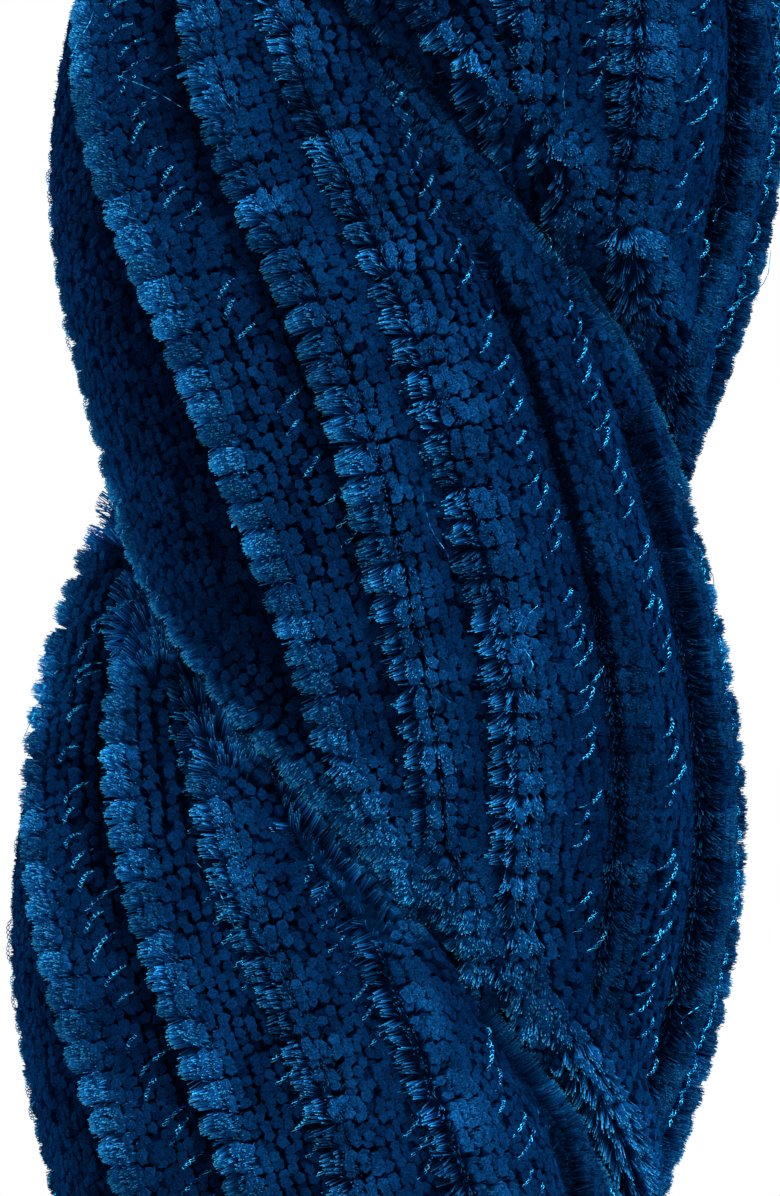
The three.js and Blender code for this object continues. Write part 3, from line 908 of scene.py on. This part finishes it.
def brass_material(name, low, high, tone):
    """Lacquered brass: faint tarnish, fine rubbing marks and a few deeper scratches."""
    m = Nodes(name, Metallic=1.0, Coat_Weight=0.15, Coat_Roughness=0.1)
    warm, dull = tone
    tarnish = m.noise(130, 5, 0.65)
    color = m.ramp(tarnish, [(0.3, dull), (0.55, warm), (0.8, warm)])
    speck = m.ramp(m.noise(1400, 2), [(0.28, (0.55, 0.5, 0.42)), (0.36, (1, 1, 1))])
    m.color(m.mix(0.7, color, speck, "MULTIPLY"))
    rubbed = m.rubbing(2600)
    m.roughness(m.math("MULTIPLY_ADD", tarnish, 0.5, m.math("MULTIPLY", rubbed, 0.5)), low, high)
    m.bump(rubbed, 0.00002, 0.6)
    return m.material


def steel_material():
    m = Nodes("satin_steel", Metallic=1.0)
    m.color(m.ramp(m.noise(300, 4), [(0.3, (0.40, 0.40, 0.41)), (0.7, (0.62, 0.63, 0.64))]))
    brushed = m.rubbing(3200)
    m.roughness(brushed, 0.25, 0.5)
    m.bump(brushed, 0.00002, 0.5)
    return m.material


def beech_material():
    """Turned beech with its grain along the plug and short dark flecks."""
    m = Nodes("beech", Specular_IOR_Level=0.4)
    grain = m.noise(700, 5, 0.5, stretch=(1, 1, 0.08))
    tones = [(0.3, (0.42, 0.27, 0.14)), (0.5, (0.60, 0.43, 0.26)), (0.75, (0.70, 0.53, 0.35))]
    m.color(m.ramp(grain, tones))
    m.roughness(grain, 0.55, 0.8)
    m.bump(grain, 0.0002)
    return m.material


SLOT_MATERIALS = {
    "hook_brass": brass_material("hook_brass", 0.10, 0.34, ((0.80, 0.56, 0.23), (0.58, 0.37, 0.13))),
    "cap_brass": brass_material("cap_brass", 0.08, 0.30, ((0.82, 0.59, 0.26), (0.62, 0.41, 0.15))),
    "screw_brass": brass_material("screw_brass", 0.22, 0.48, ((0.72, 0.51, 0.22), (0.50, 0.32, 0.12))),
    "steel": steel_material(),
    "beech": beech_material(),
    "velvet": GROUND,
    "cotton_filler": COTTON,
    "twine": TWINE,
}
for subpart in frame["record"]["subparts"]:
    frame["nodes"][subpart["node"]].data.materials.clear()
    frame["nodes"][subpart["node"]].data.materials.append(SLOT_MATERIALS[subpart["material_slot"]])

# ---- Caps and hooks ----

CAP_RADIUS = 20.2
CAP_WALL = 1.4
CAP_TOP = -44.4
CAP_MOUTH = -94
CAP_SHOULDER = -57
CAP_NECK = 8.4
SHANK_HOLE = 3.5
WIRE_RADIUS = 3.2
HOOK_ARC = 10.2
CROWN_Z = -7.3
NOSE_Z = -10
SHANK_END_Z = -54
COLLAR_RADIUS = 6.5
COLLAR_TOP = -38.6
COLLAR_BOTTOM = -42.6
PIVOT = (9.6, -31)  # of the gate, in x and z
TONGUE_ROOT = (0.5, -36)
EYE_RADIUS = 3
PIN_HOLE_RADIUS = 1.5
TONGUE = (-2.6, -0.3)  # its two faces in y
SHARP_EDGE = 40  # degrees; gentler edges of the caps and hooks are shaded smooth


def arc(middle, radii, start, end, steps):
    """Points on an arc, from one angle to another in degrees."""
    turn = np.radians(np.linspace(start, end, steps))
    x, z = middle
    return np.stack([x + radii[0] * np.cos(turn), z + radii[1] * np.sin(turn)], axis=-1)


def turned(profile, segments):
    """Points and faces of a closed profile turned about Z."""
    profile = np.asarray(profile, float)
    turn = np.arange(segments) / segments * 2 * np.pi
    radius, z = profile[:, 0], profile[:, 1]
    x, y = np.outer(np.cos(turn), radius), np.outer(np.sin(turn), radius)
    points = np.stack([x, y, np.broadcast_to(z, x.shape)], axis=-1).reshape(-1, 3)
    count = len(profile)
    segment, corner = np.meshgrid(np.arange(segments), np.arange(count), indexing="ij")
    near, far = segment * count, (segment + 1) % segments * count
    after = (corner + 1) % count
    walls = np.stack([near + corner, far + corner, far + after, near + after], axis=-1)
    return points, [walls.reshape(-1, 4)]


def cap_profile():
    """Bead, grooved skirt, domed shoulder and neck outside, and the same wall inside."""
    inside = CAP_RADIUS - CAP_WALL
    grooves = []
    for z in (-87.4, -85.8, -60.4):
        grooves.append(arc((CAP_RADIUS, z), (-0.35, 0.35), -90, 90, 7))
    skirt = np.concatenate([[[CAP_RADIUS, -89.8]], *grooves, [[CAP_RADIUS, CAP_SHOULDER]]])
    rise = CAP_TOP - 1.4 - CAP_SHOULDER
    dome = arc((CAP_NECK, CAP_SHOULDER), (CAP_RADIUS - CAP_NECK, rise), 2, 90, 22)
    neck = [(CAP_NECK, CAP_TOP - 1.1), (CAP_NECK - 0.1, CAP_TOP - 0.3), (CAP_NECK - 0.4, CAP_TOP)]
    hole = [(SHANK_HOLE, CAP_TOP), (SHANK_HOLE, CAP_TOP - CAP_WALL)]
    under = arc((CAP_NECK - 1, CAP_SHOULDER), (inside - CAP_NECK + 1, rise - CAP_WALL), 90, 0, 14)
    lip = [(inside, CAP_MOUTH + 0.3), (inside + 0.3, CAP_MOUTH), (CAP_RADIUS + 0.2, CAP_MOUTH)]
    bead = arc((CAP_RADIUS, CAP_MOUTH + 1.8), (1.6, 1.6), -68, 62, 12)
    fillet = [(CAP_RADIUS + 0.3, CAP_MOUTH + 3.7)]
    return np.concatenate([lip, bead, fillet, skirt, dome, neck, hole, under])


def hook_line():
    """The hook's wire from the foot of its shank, up round its crown and down to its nose."""
    way = np.linspace(0, 1, 26)[:, None]
    p0, p1, p2, p3 = np.array([(0, COLLAR_TOP), (0, -31), (-HOOK_ARC, -36), (-HOOK_ARC, -25)], float)
    foot = p0 * (1 - way) ** 3 + 3 * p1 * way * (1 - way) ** 2 + 3 * p2 * way**2 * (1 - way) + p3 * way**3
    shank = np.stack([np.zeros(6), np.linspace(SHANK_END_Z, COLLAR_TOP, 7)[:-1]], axis=-1)
    back = np.stack([np.full(8, -HOOK_ARC), np.linspace(-25, CROWN_Z, 10)[1:-1]], axis=-1)
    crown = arc((0, CROWN_Z), (HOOK_ARC, HOOK_ARC), 180, 0, 44)
    nose = np.array([(HOOK_ARC, -8.4), (HOOK_ARC, NOSE_Z + 0.5), (HOOK_ARC, NOSE_Z)])
    return np.concatenate([shank, foot, back, crown, nose])


def hook_wire():
    """The round wire on the hook's line, with its ends' edges eased."""
    line = hook_line()
    line = np.stack([line[:, 0], 0 * line[:, 0], line[:, 1]], axis=-1)
    along = unit(np.gradient(line, axis=0))
    outward = np.cross([0.0, 1.0, 0.0], along)
    turn = np.arange(28) / 28 * 2 * np.pi
    ring = outward[:, None] * np.cos(turn)[:, None] + np.array([0, 1.0, 0]) * np.sin(turn)[:, None]
    thick = np.full((len(line), 1, 1), float(WIRE_RADIUS))
    thick[0] -= 0.5
    thick[-1] -= 0.5
    return wrapped_rings(line[:, None] + ring * thick)


def tongue():
    """The flat tongue from the collar to the gate's pin."""
    (px, pz), (rx, rz) = PIVOT, TONGUE_ROOT
    slope = math.degrees(math.atan2(pz - rz, px - rx))
    far = arc(PIVOT, (EYE_RADIUS, EYE_RADIUS), slope - 90, slope + 90, 18)
    near = arc(TONGUE_ROOT, (EYE_RADIUS, EYE_RADIUS), slope + 90, slope + 270, 18)
    outline = np.concatenate([far, near])
    middle = outline.mean(axis=0)
    slim = middle + (outline - middle) * 0.95
    low, high = TONGUE
    rings = []
    for shape, y in ((slim, high), (outline, high - 0.25), (outline, low + 0.25), (slim, low)):
        rings.append(np.stack([shape[:, 0], np.full(len(shape), y), shape[:, 1]], axis=-1))
    return wrapped_rings(rings)


def collar():
    profile = [
        (0.01, COLLAR_BOTTOM),
        (COLLAR_RADIUS - 0.3, COLLAR_BOTTOM),
        (COLLAR_RADIUS, COLLAR_BOTTOM + 0.3),
        (COLLAR_RADIUS, COLLAR_TOP - 1.5),
        (COLLAR_RADIUS - 0.3, COLLAR_TOP - 1.0),
        (COLLAR_RADIUS - 1.6, COLLAR_TOP),
        (0.01, COLLAR_TOP),
    ]
    return turned(profile, 64)


def pin_hole():
    x, z = arc(PIVOT, (PIN_HOLE_RADIUS, PIN_HOLE_RADIUS), 0, 345, 24).T
    return wrapped_rings([np.stack([x, np.full(24, y), z], axis=-1) for y in (1.0, -4.0)])


def seat_cut():
    """What is cut away inside the crown, up to the flat seat at z = 0."""
    corners = np.array([(-4, -5), (4, -5), (4, 5), (-4, 5)], float)
    return wrapped_rings([np.column_stack([corners, np.full(4, z)]) for z in (-4.0, 0.0)])


def outward(points, faces):
    """The faces of a closed shell, turned over if they look inwards."""
    volume = 0.0
    for group in faces:
        first = points[group[:, 0]]
        for second, third in zip(group.T[1:], group.T[2:]):
            volume += np.sum(first * np.cross(points[second], points[third]))
    return points, faces if volume > 0 else [group[:, ::-1] for group in faces]


def snap_hook():
    """The hook as one solid: wire, collar and tongue united, the seat and the pin's hole cut."""
    steps = [("UNION", collar()), ("UNION", tongue()), ("DIFFERENCE", seat_cut()), ("DIFFERENCE", pin_hole())]
    solid = new_object("wire", *outward(*hook_wire()), [])
    tools = []
    for operation, shell in steps:
        tools.append(new_object("tool", *outward(*shell), []))
        change = solid.modifiers.new(operation, "BOOLEAN")
        change.operation = operation
        change.solver = "EXACT"
        change.object = tools[-1]
    mesh = bpy.data.meshes.new_from_object(solid.evaluated_get(bpy.context.evaluated_depsgraph_get()))
    for used in (solid, *tools):
        bpy.data.objects.remove(used)
    piece = bpy.data.objects.new("snap_hook", mesh)
    bpy.context.scene.collection.objects.link(piece)
    return piece


def fitting(piece, end, body, slot, node):
    """Moves a piece made at the origin to one end of the rope, in place of its CAD node."""
    piece.name = f"{piece.name}_{end}"
    turned_outwards = Matrix.Rotation(math.pi, 4, "Z")
    shifted = Matrix.Translation((HOOK_SPACING * MM, 0, 0))
    piece.data.transform(turned_outwards if end == "a" else shifted)
    piece.data.materials.clear()
    piece.data.materials.append(SLOT_MATERIALS[slot])
    piece.data.set_sharp_from_angle(angle=math.radians(SHARP_EDGE))
    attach(piece, body)
    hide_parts(node)


for end in ("a", "b"):
    cap = new_object("bell_cap", *outward(*turned(cap_profile(), 128)), [])
    fitting(cap, end, "rope", "cap_brass", f"end_cap_{end}")
    fitting(snap_hook(), end, f"hook_{end}", "hook_brass", f"hook_body_{end}")

# ---- Stage, lights and camera ----

LIGHTS = {  # the way towards each one, its angle in degrees and its strength
    "key": ((0.62, -0.78, 0.75), 16, 4.8),
    "fill": ((-0.76, -0.9, 0.3), 46, 0.8),
    "rim_left": ((-0.84, 0.5, 0.3), 28, 4.0),
    "rim_right": ((0.86, 0.4, 0.3), 28, 6.0),
}
WORLD_LIGHT = 0.5
WORLD_SEEN = 1.0
FLOOR_HALF = 3000
FLOOR_Z = -700
LENS = 180
SENSOR_HEIGHT = 36
FRAME_HEIGHT = 61.0  # of rope that the picture takes in, from top to bottom
SHIFT = (-0.2, -5.9)  # of the picture's middle from the waist, in x and z
LEAN = 3.2  # degrees that the rope leans in the picture


def light(name, toward, angle, strength):
    """A soft distant light; `toward` points from the rope to it."""
    lamp = bpy.data.lights.new(name, "SUN")
    lamp.angle = math.radians(angle)
    lamp.energy = strength
    holder = bpy.data.objects.new(name, lamp)
    holder.rotation_euler = (-Vector(toward)).to_track_quat("-Z", "Y").to_euler()
    bpy.context.scene.collection.objects.link(holder)


def studio():
    for name, (toward, angle, strength) in LIGHTS.items():
        light(name, toward, angle, strength)
    world = bpy.data.worlds.new("studio")
    bpy.context.scene.world = world
    world.use_nodes = True
    nodes, links = world.node_tree.nodes, world.node_tree.links
    soft = nodes["Background"]
    soft.inputs["Color"].default_value = (1, 1, 1, 1)
    soft.inputs["Strength"].default_value = WORLD_LIGHT
    seen = nodes.new("ShaderNodeBackground")
    seen.inputs["Color"].default_value = (1, 1, 1, 1)
    seen.inputs["Strength"].default_value = WORLD_SEEN
    ray = nodes.new("ShaderNodeLightPath")
    mix = nodes.new("ShaderNodeMixShader")
    links.new(ray.outputs["Is Camera Ray"], mix.inputs[0])
    links.new(soft.outputs[0], mix.inputs[1])
    links.new(seen.outputs[0], mix.inputs[2])
    links.new(mix.outputs[0], nodes["World Output"].inputs["Surface"])


def floor():
    m = Nodes("studio_floor", Roughness=0.9)
    grain = m.noise(3, 2)
    m.color(m.ramp(grain, [(0.3, (0.42, 0.42, 0.43)), (0.7, (0.45, 0.45, 0.45))]))
    half, z = FLOOR_HALF, FLOOR_Z
    points = [(-half, -half, z), (half, -half, z), (half, half, z), (-half, half, z)]
    piece = new_object("studio_floor", points, [np.array([[0, 1, 2, 3]])], [m.material])


def camera():
    """A long lens square on to leg A, leaning as the photograph does."""
    data = bpy.data.cameras.new("camera")
    data.lens = LENS
    data.sensor_fit = "VERTICAL"
    data.sensor_height = SENSOR_HEIGHT
    distance = FRAME_HEIGHT * MM * LENS / SENSOR_HEIGHT
    holder = bpy.data.objects.new("camera", data)
    waist_z = HALF_ROUTE[0][1] - SEEN_WAIST
    holder.location = (SHIFT[0] * MM, -distance, (waist_z + SHIFT[1]) * MM)
    holder.rotation_euler = (math.radians(90), 0, 0)
    holder.rotation_euler.rotate_axis("Z", math.radians(LEAN))
    data.clip_start = 0.01
    bpy.context.scene.collection.objects.link(holder)
    bpy.context.scene.camera = holder


floor()
studio()
camera()
bpy.context.scene.view_settings.view_transform = "Standard"
